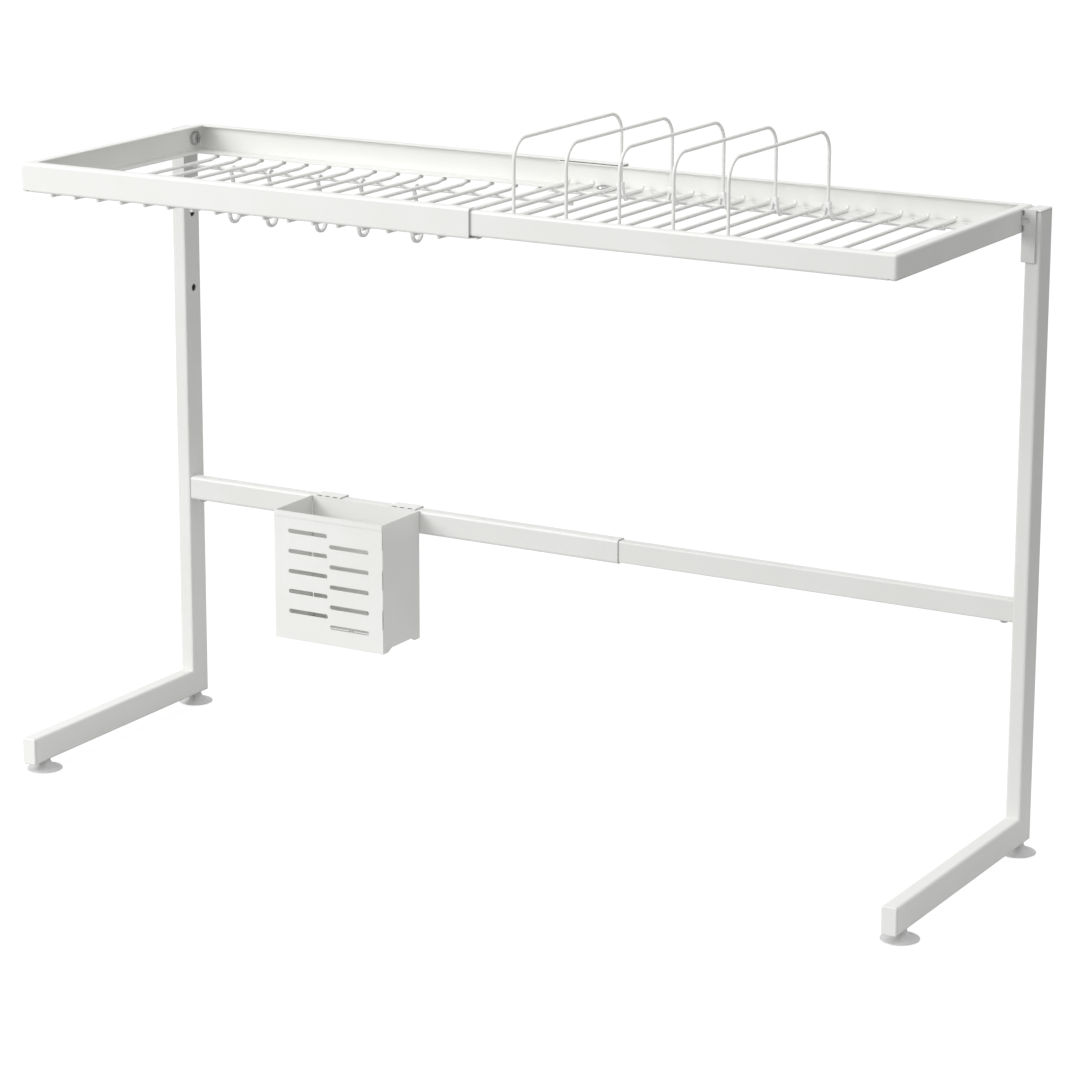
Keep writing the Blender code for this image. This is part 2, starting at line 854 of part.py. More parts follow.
def utensil_hook(number, x, material):
    """Flat J hook: an eye over the cross wire, a shank that leans back, a bowl and a flared arm."""
    eye_radius = wire_radius + touch_gap + hook_eye_band / 2
    lean = math.radians(hook_lean_degrees)
    start = math.radians(hook_eye_start_degrees)
    path = []
    for step in range(hook_eye_steps + 1):
        angle = start + (math.pi + lean - start) * step / hook_eye_steps
        path.append((turned(Vector((eye_radius, 0)), angle), hook_eye_band / 2))
    leave = path[-1][0]
    bowl_z = hook_bowl_radius + hook_band / 2 - hook_drop
    fall = leave.y - bowl_z - hook_bowl_radius * math.sin(lean)
    bowl_y = leave.x + fall * math.tan(lean) - hook_bowl_radius * math.cos(lean)
    middle = Vector((bowl_y, bowl_z))
    sweep = math.pi + lean - math.radians(hook_flare_degrees)
    for step in range(hook_bowl_steps + 1):
        angle = lean - sweep * step / hook_bowl_steps
        path.append((middle + turned(Vector((hook_bowl_radius, 0)), angle), hook_band / 2))
    outwards = turned(Vector((0, hook_front_arm)), math.radians(hook_flare_degrees))
    path.append((path[-1][0] + outwards, hook_band / 2))
    outline = [
        (cross_wire_y + point.x, outer_cross_wire_z + point.y) for point in ribbon_outline(path)
    ]
    hook = bmesh.new()
    add_prism(hook, "X", x - hook_thickness / 2, x + hook_thickness / 2, outline)
    origin = (x, cross_wire_y, outer_cross_wire_z)
    return finish_object(f"utensil_hook_{number}", hook, material, origin=origin)


def bracket(side, material):
    """Steel L: a web between the tray's end wall and the post, and a flange in front of the post."""
    sign = -1 if side == "left" else 1
    post_face_x = sign * (half_width - tube_width)
    web_outer_x = post_face_x - sign * touch_gap
    web_inner_x = web_outer_x - sign * bracket_sheet
    flange_end_x = post_face_x + sign * bracket_flange
    flange_back_y = post_front_y - touch_gap
    flange_front_y = flange_back_y - bracket_sheet
    web_back_y = flange_front_y + bracket_web_depth
    top = tray_top - bracket_below_tray_top
    bottom = top - bracket_height
    outline = [
        (web_inner_x, flange_front_y),
        (flange_end_x, flange_front_y),
        (flange_end_x, flange_back_y),
        (web_outer_x, flange_back_y),
        (web_outer_x, web_back_y),
        (web_inner_x, web_back_y),
    ]
    angle = bmesh.new()
    add_prism(angle, "Z", bottom, top, outline)
    plate = finish_object(f"{side}_bracket", angle, material, origin=(web_inner_x, flange_back_y, top))
    holes = bmesh.new()
    dimple_x = web_inner_x + sign * (bracket_dimple_width / 2 + touch_gap)
    dimple = rounded_rectangle(bracket_dimple_width, bracket_dimple_height, bracket_dimple_height / 3)
    add_prism(
        holes,
        "Y",
        flange_front_y - cut_overrun,
        flange_front_y + bracket_dimple_depth,
        [(dimple_x + u, tray_middle + v) for u, v in dimple],
    )
    screw_y = post_front_y + tray_screw_from_post_front
    ends = sorted((web_inner_x - sign * cut_overrun, web_outer_x + sign * cut_overrun))
    add_cylinder(holes, "X", (screw_y, tray_middle), *ends, tray_screw_radius + touch_gap)
    for step in (-1, 1):
        notch_z = tray_middle + step * bracket_notch_from_dimple
        near = web_inner_x - sign * cut_overrun
        far = web_inner_x + sign * bracket_notch_width
        add_box(
            holes,
            (min(near, far), flange_front_y - cut_overrun, notch_z - bracket_notch_height / 2),
            (max(near, far), flange_back_y + touch_gap, notch_z + bracket_notch_height / 2),
        )
    return combine(plate, finish_object(f"{side}_bracket_holes", holes, material), "DIFFERENCE")


def tray_screw(side, material):
    """Button-head screw from inside the tray, through end wall and bracket into the post."""
    sign = -1 if side == "left" else 1
    seat_x = sign * (tray_length / 2 - sheet - touch_gap)
    y = post_front_y + tray_screw_from_post_front
    dome = tray_screw_head_height / 2
    profile = (
        (tray_screw_recess_radius, tray_screw_recess_depth - tray_screw_head_height),
        (tray_screw_recess_radius, -tray_screw_head_height),
        (tray_screw_head_radius - dome, -tray_screw_head_height),
        (tray_screw_head_radius, -dome),
        (tray_screw_head_radius, 0),
        (tray_screw_radius, 0),
        (tray_screw_radius, tray_screw_length),
    )
    screw = bmesh.new()
    add_lathe(screw, lambda u, v, h: (seat_x + sign * h, y + u, tray_middle + v), profile, sides=20)
    return finish_object(f"{side}_tray_screw", screw, material, origin=(seat_x, y, tray_middle))


def lock_screw(material):
    """Flat-head screw in the inner ledge, backed off so that its tip clears the outer ledge."""
    tip = tray_bottom + sheet + touch_gap
    seat = inner_bottom + sheet + touch_gap
    top = seat + lock_screw_head_height
    profile = (
        (lock_screw_radius, tip),
        (lock_screw_radius, seat),
        (lock_screw_head_radius, seat),
        (lock_screw_head_radius, top - lock_screw_head_height / 2),
        (lock_screw_head_radius - lock_screw_head_height / 2, top),
        (lock_screw_recess_radius, top),
        (lock_screw_recess_radius, top - lock_screw_recess_depth),
    )
    screw = bmesh.new()
    add_lathe(screw, upright(lock_screw_x, lock_screw_y), profile, sides=20)
    return finish_object("lock_screw", screw, material, origin=(lock_screw_x, lock_screw_y, seat))


def bar_half(name, low_x, high_x, shrink, screw_x, material):
    """One rectangular tube of the cross bar, smaller all round by shrink, with its screw hole below."""
    bore = shrink + bar_wall
    stations = (
        lambda u, v: (low_x, bar_centre_y + u, bar_centre_z + v),
        lambda u, v: (high_x, bar_centre_y + u, bar_centre_z + v),
    )
    tube = bmesh.new()
    add_tube(
        tube,
        stations,
        rounded_rectangle(bar_depth - 2 * shrink, bar_height - 2 * shrink, bar_corner_radius - shrink),
        rounded_rectangle(bar_depth - 2 * bore, bar_height - 2 * bore, bar_corner_radius - bore),
    )
    half = finish_object(name, tube, material, origin=(low_x, bar_centre_y, bar_centre_z))
    hole = bmesh.new()
    under = bar_bottom + shrink
    add_cylinder(
        hole,
        "Z",
        (screw_x, bar_centre_y),
        under - cut_overrun,
        under + bar_wall + cut_overrun,
        bar_screw_radius + touch_gap,
        sides=12,
    )
    return combine(half, finish_object(f"{name}_hole", hole, material), "DIFFERENCE")


def bar_spigot(side, shrink, material):
    """Block welded to the post that fills the end of the bar, bored for the bar's screw."""
    sign = -1 if side == "left" else 1
    face_x = sign * (half_width - tube_width - touch_gap)
    bore = shrink + bar_wall + touch_gap
    outline = [
        (bar_centre_y + u, bar_centre_z + v)
        for u, v in rounded_rectangle(
            bar_depth - 2 * bore, bar_height - 2 * bore, bar_corner_radius - shrink - bar_wall
        )
    ]
    block = bmesh.new()
    ends = sorted((face_x, face_x - sign * spigot_length))
    add_prism(block, "X", *ends, outline)
    spigot = finish_object(f"{side}_bar_spigot", block, material, origin=(face_x, bar_centre_y, bar_centre_z))
    hole = bmesh.new()
    under = bar_bottom + bore
    add_cylinder(
        hole,
        "Z",
        (face_x - sign * bar_screw_from_end, bar_centre_y),
        under - cut_overrun,
        under + bar_screw_length,
        bar_screw_radius + touch_gap,
        sides=12,
    )
    return combine(spigot, finish_object(f"{side}_spigot_hole", hole, material), "DIFFERENCE")


def bar_screw(side, shrink, material):
    """Small screw from below, through the bar into its spigot."""
    sign = -1 if side == "left" else 1
    x = sign * (half_width - tube_width - touch_gap - bar_screw_from_end)
    seat = bar_bottom + shrink - touch_gap
    profile = (
        (bar_screw_head_radius - bar_screw_head_height / 2, seat - bar_screw_head_height),
        (bar_screw_head_radius, seat - bar_screw_head_height / 2),
        (bar_screw_head_radius, seat),
        (bar_screw_radius, seat),
        (bar_screw_radius, seat + bar_screw_length),
    )
    screw = bmesh.new()
    add_lathe(screw, upright(x, bar_centre_y), profile, sides=16)
    return finish_object(f"{side}_bar_screw", screw, material, origin=(x, bar_centre_y, seat))


def cutlery_basket(material):
    """Box folded from one sheet, with slots in its front and two tabs over the bar."""
    box = bmesh.new()
    add_box(
        box,
        (basket_left_x, basket_front_y, basket_bottom),
        (basket_right_x, basket_back_y, bar_top),
    )
    origin = ((basket_left_x + basket_right_x) / 2, basket_back_y, bar_top)
    basket = finish_object("cutlery_basket", box, material, origin=origin)
    combine(basket, basket_inside(material), "DIFFERENCE")
    combine(basket, basket_under(material), "DIFFERENCE")
    combine(basket, basket_side_arch(material), "DIFFERENCE")
    combine(basket, basket_tabs(material), "UNION")
    return combine(basket, basket_openings(material), "DIFFERENCE")


def basket_inside(material):
    room = bmesh.new()
    add_box(
        room,
        (
            basket_left_x + basket_sheet,
            basket_front_y + basket_sheet,
            basket_floor_bottom + basket_sheet,
        ),
        (basket_right_x - basket_sheet, basket_back_y - basket_sheet, bar_top + cut_overrun),
    )
    return finish_object("basket_room", room, material)


def basket_under(material):
    under = bmesh.new()
    add_box(
        under,
        (
            basket_left_x + basket_sheet,
            basket_front_y + basket_sheet,
            basket_bottom - cut_overrun,
        ),
        (basket_right_x - basket_sheet, basket_back_y - basket_sheet, basket_floor_bottom),
    )
    return finish_object("basket_under", under, material)


def basket_side_arch(material):
    """The lower edge of both sides is cut back between two small feet."""
    low = basket_bottom - cut_overrun
    high = basket_floor_bottom - touch_gap
    front = basket_front_y + basket_foot_length
    back = basket_back_y - basket_foot_length
    outline = (
        (front, low),
        (back, low),
        (back, basket_bottom),
        (back - basket_foot_slope, high),
        (front + basket_foot_slope, high),
        (front, basket_bottom),
    )
    arch = bmesh.new()
    add_prism(arch, "X", basket_left_x - cut_overrun, basket_right_x + cut_overrun, outline)
    return finish_object("basket_side_arch", arch, material)


def tab_places():
    """The low x of each tab."""
    return (basket_left_x + tab_inset, basket_right_x - tab_inset - tab_width)


def basket_tabs(material):
    """Two straps over the bar and the hem along the front of the rim."""
    skin = (basket_sheet - tab_sheet) / 2
    rise_y = basket_back_y - skin - tab_sheet
    under = bar_top + touch_gap
    fall_y = bar_front_y + bar_depth + touch_gap
    outline = (
        (rise_y, bar_top - tab_root),
        (rise_y + tab_sheet, bar_top - tab_root),
        (rise_y + tab_sheet, under),
        (fall_y, under),
        (fall_y, under - tab_drop),
        (fall_y + tab_sheet, under - tab_drop),
        (fall_y + tab_sheet, under + tab_sheet),
        (rise_y, under + tab_sheet),
    )
    tabs = bmesh.new()
    for low_x in tab_places():
        add_prism(tabs, "X", low_x, low_x + tab_width, outline)
    add_box(
        tabs,
        (
            basket_left_x + basket_hem_inset,
            basket_front_y - basket_hem_step,
            bar_top - basket_hem_height,
        ),
        (
            basket_right_x - basket_hem_inset,
            basket_front_y + basket_sheet / 2,
            bar_top - basket_hem_inset,
        ),
    )
    return finish_object("basket_tabs", tabs, material)


def add_fold_slit(mesh_data, axis, corner, outward, low, high):
    """A thin cut through a folded corner, square to its diagonal."""
    out = Vector(outward).normalized()
    across = Vector((-out.y, out.x)) * fold_slit_width / 2
    start = Vector(corner) - out * 2 * basket_sheet
    end = Vector(corner) + out * cut_overrun
    outline = (start - across, end - across, end + across, start + across)
    add_prism(mesh_data, axis, low, high, [tuple(point) for point in outline])


def basket_openings(material):
    """Slots in the front and the floor, and the slits that perforate the folds."""
    cuts = bmesh.new()
    slot = rounded_rectangle(slot_length, slot_height, slot_height / 2 - touch_gap)
    middle_x = (basket_left_x + basket_right_x) / 2
    shift = (slot_length + slot_gap_between_columns) / 2
    for row in range(slot_rows):
        left_z = bar_top - first_slot_below_rim - row * slot_pitch
        for centre_x, z in ((middle_x - shift, left_z), (middle_x + shift, left_z - slot_pitch / 2)):
            add_prism(
                cuts,
                "Y",
                basket_front_y - cut_overrun,
                basket_front_y + basket_sheet + cut_overrun,
                [(centre_x + u, z + v) for u, v in slot],
            )
    middle_y = (basket_front_y + basket_back_y) / 2
    for row in range(drain_slot_rows):
        y = middle_y + (row - (drain_slot_rows - 1) / 2) * drain_slot_pitch
        for centre_x in (middle_x - shift, middle_x + shift):
            add_prism(
                cuts,
                "Z",
                basket_floor_bottom - cut_overrun / 2,
                basket_floor_bottom + basket_sheet + cut_overrun / 2,
                [(centre_x + u, y + v) for u, v in slot],
            )
    corners = (
        ((basket_right_x, basket_front_y), (1, -1)),
        ((basket_left_x, basket_back_y), (-1, 1)),
    )
    for corner, outward in corners:
        for i in range(fold_slit_count):
            high = bar_top - basket_hem_height - i * fold_slit_pitch
            add_fold_slit(cuts, "Z", corner, outward, high - fold_slit_length, high)
    top = bar_top + touch_gap + tab_sheet
    bends = (
        ((basket_back_y - basket_sheet, top), (-1, 1)),
        ((bar_front_y + bar_depth + touch_gap + tab_sheet, top), (1, 1)),
    )
    for low_x in tab_places():
        for i in range(tab_slit_count):
            x = low_x + tab_width / 2 + (i - (tab_slit_count - 1) / 2) * tab_slit_pitch
            for corner, outward in bends:
                add_fold_slit(
                    cuts, "X", corner, outward, x - tab_slit_length / 2, x + tab_slit_length / 2
                )
    return finish_object("basket_openings", cuts, material)


clear_scene()

coated_steel = paint("coated_steel", (0.86, 0.87, 0.87), 0.42)
coated_wire = paint("coated_wire", (0.84, 0.85, 0.85), 0.38)
white_plastic = paint("white_plastic", (0.82, 0.83, 0.83), 0.5)
soft_plastic = paint("soft_plastic", (0.66, 0.69, 0.7), 0.35, transmission=0.5)
plated_steel = paint("plated_steel", (0.62, 0.62, 0.63), 0.28, metallic=1.0)

bar_shrinks = {"left": 0, "right": bar_wall + touch_gap}
for side_name, side_sign in (("left", -1), ("right", 1)):
    leg_x = side_sign * (half_width - tube_width / 2)
    leg_frame(side_name, coated_steel)
    tube_plug(f"{side_name}_post_cap", leg_x, post_centre_y, post_top, True, white_plastic)
    tube_plug(f"{side_name}_foot_plug", leg_x, foot_front_y, foot_centre_z, False, white_plastic)
    for place_name, pad_y in zip(("front", "rear"), pad_places()):
        foot_pad(f"{side_name}_{place_name}_pad", leg_x, pad_y, soft_plastic)
        foot_stem(f"{side_name}_{place_name}_stem", leg_x, pad_y, white_plastic)
    bracket(side_name, coated_steel)
    tray_screw(side_name, plated_steel)
    bar_spigot(side_name, bar_shrinks[side_name], white_plastic)
    bar_screw(side_name, bar_shrinks[side_name], plated_steel)

outer_tray_rim(coated_steel)
inner_tray_rim(coated_steel)
outer_wire_grid(coated_wire)
inner_wire_grid(coated_wire)
lock_screw(plated_steel)

bar_screw_inset = tube_width + touch_gap + bar_screw_from_end
bar_half(
    "crossbar_outer",
    left_post_inner_x + touch_gap,
    left_post_inner_x + touch_gap + outer_bar_length,
    bar_shrinks["left"],
    bar_screw_inset - half_width,
    coated_steel,
)
bar_half(
    "crossbar_inner",
    inner_bar_end_x,
    right_post_inner_x - touch_gap,
    bar_shrinks["right"],
    half_width - bar_screw_inset,
    coated_steel,
)
cutlery_basket(coated_steel)

for arch_number, arch_x in enumerate(arch_places(), start=1):
    plate_arch(arch_number, arch_x, coated_wire)
    arch_clip(f"front_clip_{arch_number}", arch_x, arch_leg_front_y, white_plastic)
    arch_clip(f"rear_clip_{arch_number}", arch_x, arch_leg_rear_y, white_plastic)

for hook_number, share in enumerate(hook_place_shares, start=1):
    utensil_hook(hook_number, first_outer_rod_x + share * rod_pitch, white_plastic)
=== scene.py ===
import json
import math

import bmesh
import bpy
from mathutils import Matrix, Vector


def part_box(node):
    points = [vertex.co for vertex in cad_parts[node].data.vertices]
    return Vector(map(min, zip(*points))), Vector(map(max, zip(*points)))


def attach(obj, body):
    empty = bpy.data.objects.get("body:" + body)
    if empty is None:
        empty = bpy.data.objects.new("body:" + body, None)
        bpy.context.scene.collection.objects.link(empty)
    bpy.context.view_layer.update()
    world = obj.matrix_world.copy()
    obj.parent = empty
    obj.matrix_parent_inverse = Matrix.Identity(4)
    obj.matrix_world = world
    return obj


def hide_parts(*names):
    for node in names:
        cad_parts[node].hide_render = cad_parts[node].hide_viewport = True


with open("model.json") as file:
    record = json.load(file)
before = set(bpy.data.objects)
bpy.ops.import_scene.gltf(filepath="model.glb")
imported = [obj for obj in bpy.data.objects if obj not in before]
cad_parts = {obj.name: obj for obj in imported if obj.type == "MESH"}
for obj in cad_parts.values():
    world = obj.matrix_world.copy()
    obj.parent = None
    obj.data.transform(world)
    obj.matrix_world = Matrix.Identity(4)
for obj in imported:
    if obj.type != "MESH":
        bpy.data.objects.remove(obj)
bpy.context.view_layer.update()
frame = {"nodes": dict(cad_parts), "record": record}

cad = frame["nodes"]

# The studio: a pale seamless floor that runs out of sight under a bright white surround. A soft
# box stands at the front left, and broad light comes from behind and from above, so the faces
# turned to the right fall into an even grey.
floor_width, floor_middle_y, floor_drop = 60, 12, 0.0002
# The floor's colour in the light it bounces is a painted pool of light: paper_near out to
# pool_edge from the middle, fading to paper_far at pool_end, so the object's lower parts get more.
pool_edge, pool_end = 0.5, 1.3
paper_near, paper_far, paper_seen, paper_glow = 0.6, 0.22, 0.2, 0.86
surround_seen, surround_fill = 1, 0.56
light_height = 3
bpy.ops.object.select_all(action="DESELECT")
bpy.ops.mesh.primitive_plane_add(size=floor_width, location=(0, floor_middle_y, -floor_drop))
floor = bpy.context.object
floor.name = "studio_floor"
bpy.ops.object.transform_apply(location=True, rotation=False, scale=False)


def seen_and_bounced(tree, seen, bounced):
    """A value that the camera sees and another that lights the object."""
    path = tree.nodes.new("ShaderNodeLightPath")
    shade = tree.nodes.new("ShaderNodeMapRange")
    shade.inputs["To Min"].default_value = bounced
    shade.inputs["To Max"].default_value = seen
    tree.links.new(path.outputs["Is Camera Ray"], shade.inputs["Value"])
    return shade


floor_paper = bpy.data.materials.new("seamless_paper")
floor_paper.use_nodes = True
paper_tree = floor_paper.node_tree
paper_shader = paper_tree.nodes["Principled BSDF"]
paper_shader.inputs["Roughness"].default_value = 1
paper_shader.inputs["Specular IOR Level"].default_value = 0
paper_place = paper_tree.nodes.new("ShaderNodeTexCoord")
paper_reach = paper_tree.nodes.new("ShaderNodeVectorMath")
paper_reach.operation = "LENGTH"
paper_tree.links.new(paper_place.outputs["Object"], paper_reach.inputs[0])
# Painted pool of light: the bounced floor colour is lighter near the middle and darker further
# out.
painted_bounce_pool = paper_tree.nodes.new("ShaderNodeMapRange")
painted_bounce_pool.inputs["From Min"].default_value = pool_edge
painted_bounce_pool.inputs["From Max"].default_value = pool_end
painted_bounce_pool.inputs["To Min"].default_value = paper_near
painted_bounce_pool.inputs["To Max"].default_value = paper_far
paper_tree.links.new(paper_reach.outputs["Value"], painted_bounce_pool.inputs["Value"])
paper_tone = seen_and_bounced(paper_tree, paper_seen, paper_near)
paper_tree.links.new(painted_bounce_pool.outputs["Result"], paper_tone.inputs["To Min"])
paper_tree.links.new(paper_tone.outputs["Result"], paper_shader.inputs["Base Color"])
paper_shader.inputs["Emission Color"].default_value = (1, 1, 1, 1)
paper_light = seen_and_bounced(paper_tree, paper_glow, 0)
paper_tree.links.new(paper_light.outputs["Result"], paper_shader.inputs["Emission Strength"])
floor.data.materials.append(floor_paper)

surround = bpy.data.worlds.new("white_surround")
bpy.context.scene.world = surround
surround.use_nodes = True
surround_tree = surround.node_tree
surround_shader = surround_tree.nodes["Background"]
surround_shader.inputs["Color"].default_value = (1, 1, 1, 1)
surround_light = seen_and_bounced(surround_tree, surround_seen, surround_fill)
surround_tree.links.new(surround_light.outputs["Result"], surround_shader.inputs["Strength"])


def turned_along(ray):
    """The turn that points a light, or anything that looks down its own -Z, along a ray."""
    return ray.to_track_quat("-Z", "Y").to_euler()


for light_name, stands_towards, spread, strength in (
    ("back_light", (-0.5, 0.7, 0.6), 70, 0.3),
    ("top_light", (0.1, -0.3, 1), 60, 0.85),
):
    bpy.ops.object.light_add(type="SUN", location=(0, 0, light_height))
    light = bpy.context.object
    light.name = light_name
    light.data.energy = strength
    light.data.angle = math.radians(spread)
    light.rotation_euler = turned_along(-Vector(stands_towards))

box_place, box_aim = Vector((-1.7, -2.4, 1.6)), Vector((-0.2, 0, 0.3))
bpy.ops.object.light_add(type="AREA", location=box_place)
soft_box = bpy.context.object
soft_box.name = "soft_box"
soft_box.data.size = 1.5
soft_box.data.energy = 53.5
soft_box.rotation_euler = turned_along(box_aim - box_place)

# The camera: a long lens from the front right, well above the tray and looking a little down,
# with a slight shift of the film to frame the object.
bpy.ops.object.camera_add(
    location=(1.6175, -2.7626, 1.102), rotation=(1.326897, -0.002368, 0.524991)
)
camera = bpy.context.object
camera.name = "photo_camera"
camera.data.lens = 126.96
camera.data.sensor_width = 36
camera.data.shift_y = -0.05
camera.data.clip_end = 60
bpy.context.scene.camera = camera
bpy.context.scene.view_settings.view_transform = "Standard"


# Leg frames: rectangular steel tube, mitred, welded and powder coated satin white. The coat has a
# fine orange-peel skin, is a touch warmer where it lies thicker, and rounds off each cut edge.
def coated(name, white, roughness, peel=0.00003, edge=0.0006):
    """A sprayed or dipped white coat; edge is how far it rounds the edges it flows over."""
    coat = bpy.data.materials.new(name)
    coat.use_nodes = True
    tree = coat.node_tree
    shader = tree.nodes["Principled BSDF"]
    shader.inputs["Coat Weight"].default_value = 0.12
    shader.inputs["Coat Roughness"].default_value = 0.35
    place = tree.nodes.new("ShaderNodeTexCoord")
    skin = tree.nodes.new("ShaderNodeTexNoise")
    skin.inputs["Scale"].default_value = 900
    skin.inputs["Detail"].default_value = 3
    tree.links.new(place.outputs["Object"], skin.inputs["Vector"])
    soft_edge = tree.nodes.new("ShaderNodeBevel")
    soft_edge.samples = 6
    soft_edge.inputs["Radius"].default_value = edge
    bump = tree.nodes.new("ShaderNodeBump")
    bump.inputs["Strength"].default_value = 0.35
    bump.inputs["Distance"].default_value = peel
    tree.links.new(skin.outputs["Fac"], bump.inputs["Height"])
    tree.links.new(soft_edge.outputs["Normal"], bump.inputs["Normal"])
    tree.links.new(bump.outputs["Normal"], shader.inputs["Normal"])
    drift = tree.nodes.new("ShaderNodeTexNoise")
    drift.inputs["Scale"].default_value = 14
    drift.inputs["Detail"].default_value = 2
    tree.links.new(place.outputs["Object"], drift.inputs["Vector"])
    tint = tree.nodes.new("ShaderNodeValToRGB")
    thick, thin = tint.color_ramp.elements
    thick.position, thin.position = 0.35, 0.65
    thick.color = (white * 0.975, white * 0.975, white * 0.95, 1)
    thin.color = (white, white, white * 0.98, 1)
    tree.links.new(drift.outputs["Fac"], tint.inputs["Fac"])
    tree.links.new(tint.outputs["Color"], shader.inputs["Base Color"])
    gloss = tree.nodes.new("ShaderNodeMapRange")
    gloss.inputs["To Min"].default_value = roughness - 0.04
    gloss.inputs["To Max"].default_value = roughness + 0.05
    tree.links.new(skin.outputs["Fac"], gloss.inputs["Value"])
    tree.links.new(gloss.outputs["Result"], shader.inputs["Roughness"])
    return coat


def finish_in(piece, coat):
    piece.data.materials.clear()
    piece.data.materials.append(coat)


leg_coat = coated("leg_powder_coat", white=0.83, roughness=0.42)
for side in ("left", "right"):
    finish_in(cad[f"{side}_leg_frame"], leg_coat)

# Brackets: folded steel angles between tray and post, in the same coat with painted shade: their
# white is set darker to stand in for the shade the tray casts on them. Each has a pressed dimple
# between two notches, and the tray screws pass through it.
bracket_coat_painted_shade = coated("bracket_coat_with_painted_shade", white=0.74, roughness=0.44, edge=0.0004)
for side in ("left", "right"):
    finish_in(cad[f"{side}_bracket"], bracket_coat_painted_shade)

# Tube ends: caps, plugs and spigots moulded in white plastic, pushed into the posts, the feet and
# the ends of the cross bar. The moulding is duller than the coat.
plug_plastic = coated("plug_moulding", white=0.84, roughness=0.5, peel=0.00001)
for side in ("left", "right"):
    finish_in(cad[f"{side}_post_cap"], plug_plastic)
    finish_in(cad[f"{side}_foot_plug"], plug_plastic)
    finish_in(cad[f"{side}_bar_spigot"], plug_plastic)

# Trays: two rims folded from steel sheet and powder coated, the right one nested in the left, so
# that they draw out over the sink.
rim_coat = coated("rim_powder_coat", white=0.88, roughness=0.38, edge=0.0007)
finish_in(cad["outer_tray_rim"], rim_coat)
finish_in(cad["inner_tray_rim"], rim_coat)

# Cross bar: two rectangular steel tubes, one sliding in the other, powder coated and screwed to
# the posts from below.
bar_coat = coated("bar_powder_coat", white=0.8, roughness=0.4)
finish_in(cad["crossbar_outer"], bar_coat)
finish_in(cad["crossbar_inner"], bar_coat)

# Cutlery basket: folded from one thin sheet with punched slots and two straps over the bar.
# Painted shade: an occlusion mask darkens the coat's colour in its slits and tight corners, so
# the slits along the folds look dark.
slit_width = 0.0014
painted_slit_shade_tone = 0.22
basket_coat = coated("basket_powder_coat", white=0.86, roughness=0.4, edge=0.0003)
basket_tree = basket_coat.node_tree
slit_occlusion_shade = basket_tree.nodes.new("ShaderNodeAmbientOcclusion")
slit_occlusion_shade.samples = 8
slit_occlusion_shade.only_local = True
slit_occlusion_shade.inputs["Distance"].default_value = slit_width
painted_slit_shade_ramp = basket_tree.nodes.new("ShaderNodeMapRange")
painted_slit_shade_ramp.inputs["From Min"].default_value = 0.25
painted_slit_shade_ramp.inputs["From Max"].default_value = 0.7
painted_slit_shade_ramp.inputs["To Min"].default_value = painted_slit_shade_tone
painted_slit_shade_ramp.inputs["To Max"].default_value = 1
basket_tree.links.new(slit_occlusion_shade.outputs["AO"], painted_slit_shade_ramp.inputs["Value"])
slit_shade = basket_tree.nodes.new("ShaderNodeVectorMath")
slit_shade.operation = "MULTIPLY"
basket_tree.links.new(painted_slit_shade_ramp.outputs["Result"], slit_shade.inputs[0])
basket_base = basket_tree.nodes["Principled BSDF"].inputs["Base Color"]
basket_tree.links.new(basket_base.links[0].from_socket, slit_shade.inputs[1])
basket_tree.links.new(slit_shade.outputs["Vector"], basket_base)
finish_in(cad["cutlery_basket"], basket_coat)

# Soft pads under the feet: flared discs moulded in pale grey rubber, with a rolled lip that grips
# the worktop, a dished top and a short neck with a socket for the stem.
pad_sole_radius = 0.0148
pad_height = 0.0097
stem_socket_radius, stem_socket_floor = 0.0033, 0.0042
pad_outline = (
    (0.0003, 0.0158),
    (0.0007, 0.0165),
    (0.0012, 0.0163),
    (0.0017, 0.0154),
    (0.0024, 0.0130),
    (0.0032, 0.0108),
    (0.0043, 0.0086),
    (0.0056, 0.0071),
    (0.0070, 0.0061),
    (0.0083, 0.0056),
    (0.0094, 0.0055),
    (pad_height, 0.0052),
    (pad_height, stem_socket_radius),
    (stem_socket_floor, stem_socket_radius),
)


def edit_new(piece, name):
    """Name a primitive that was just added and start shaping it."""
    piece.name = name
    bpy.ops.object.mode_set(mode="EDIT")
    return piece


def extrude(step):
    bpy.ops.mesh.extrude_region_move(TRANSFORM_OT_translate={"value": step})


def finish_piece(piece, smooth_degrees):
    """Close a piece: faces outwards, its place moved into its mesh, and soft shading."""
    bpy.ops.mesh.select_all(action="SELECT")
    bpy.ops.mesh.remove_doubles(threshold=0.00001)
    bpy.ops.mesh.normals_make_consistent(inside=False)
    bpy.ops.object.mode_set(mode="OBJECT")
    bpy.ops.object.transform_apply(location=True, rotation=True, scale=True)
    bpy.ops.object.shade_smooth_by_angle(angle=math.radians(smooth_degrees))


def copy_piece(piece, name, move):
    """A copy with its own mesh, moved in the mesh."""
    bpy.ops.object.select_all(action="DESELECT")
    piece.select_set(True)
    bpy.context.view_layer.objects.active = piece
    bpy.ops.object.duplicate(linked=False)
    copy = bpy.context.object
    copy.name = name
    copy.data.name = name
    copy.location = move
    bpy.ops.object.transform_apply(location=True, rotation=False, scale=False)
    return copy


def middle_of(node):
    low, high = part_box(node)
    return (Vector(low) + Vector(high)) / 2


def body_of(node):
    bodies = frame["record"]["behaviour"]["bodies"]
    return next(body for body, nodes in bodies.items() if node in nodes)


